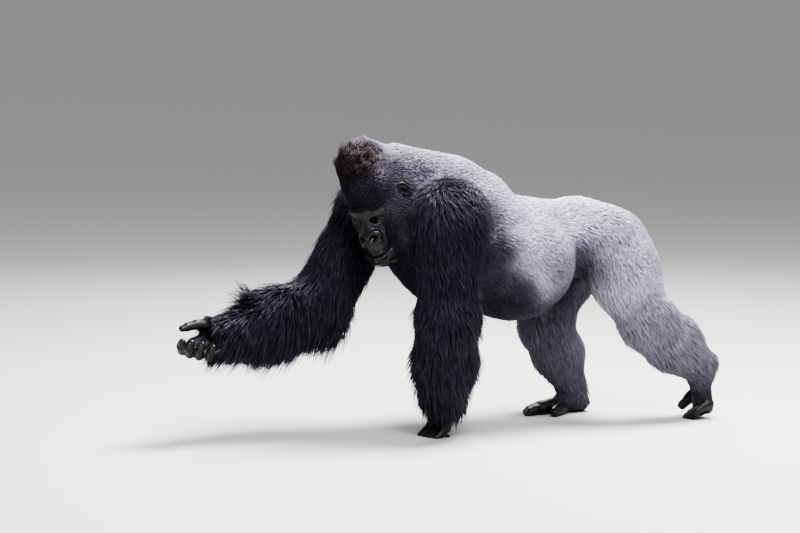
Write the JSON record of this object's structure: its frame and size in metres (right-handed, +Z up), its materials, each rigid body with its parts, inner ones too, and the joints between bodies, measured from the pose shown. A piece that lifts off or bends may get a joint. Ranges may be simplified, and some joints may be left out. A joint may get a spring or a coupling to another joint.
{
  "type": "gorilla figure",
  "caption": "Life-size male gorilla with a silver back, on its left knuckles and both feet, right arm stretched out in front with the palm up.",
  "frame": {"origin": "centre of the figure's bounding box, at floor level", "axes": "+X to the animal's left, -Y the way it faces, +Z up"},
  "size_m": [0.6849, 1.9807, 1.0228],
  "materials": {
    "silver_coat": "short dense silver-grey hair",
    "nape_coat": "grizzled grey hair",
    "black_coat": "long black hair with a blue sheen",
    "leg_coat": "dark grey hair",
    "head_coat": "short black hair, red-brown on the crest, around bare black skin",
    "bare_skin": "black wrinkled skin",
    "eye": "wet dark brown"
  },
  "bodies": {
    "root": {"trunk": "silver_coat", "neck": "nape_coat", "head": "head_coat", "ear_left": "bare_skin", "ear_right": "bare_skin", "eye_left": "eye", "eye_right": "eye", "upper_arm_left": "black_coat", "forearm_left": "black_coat", "hand_left": "bare_skin", "upper_arm_right": "black_coat", "forearm_right": "black_coat", "hand_right": "bare_skin", "thigh_left": "silver_coat", "shank_left": "leg_coat", "foot_left": "bare_skin", "thigh_right": "silver_coat", "shank_right": "leg_coat", "foot_right": "bare_skin"}
  },
  "joints": []
}
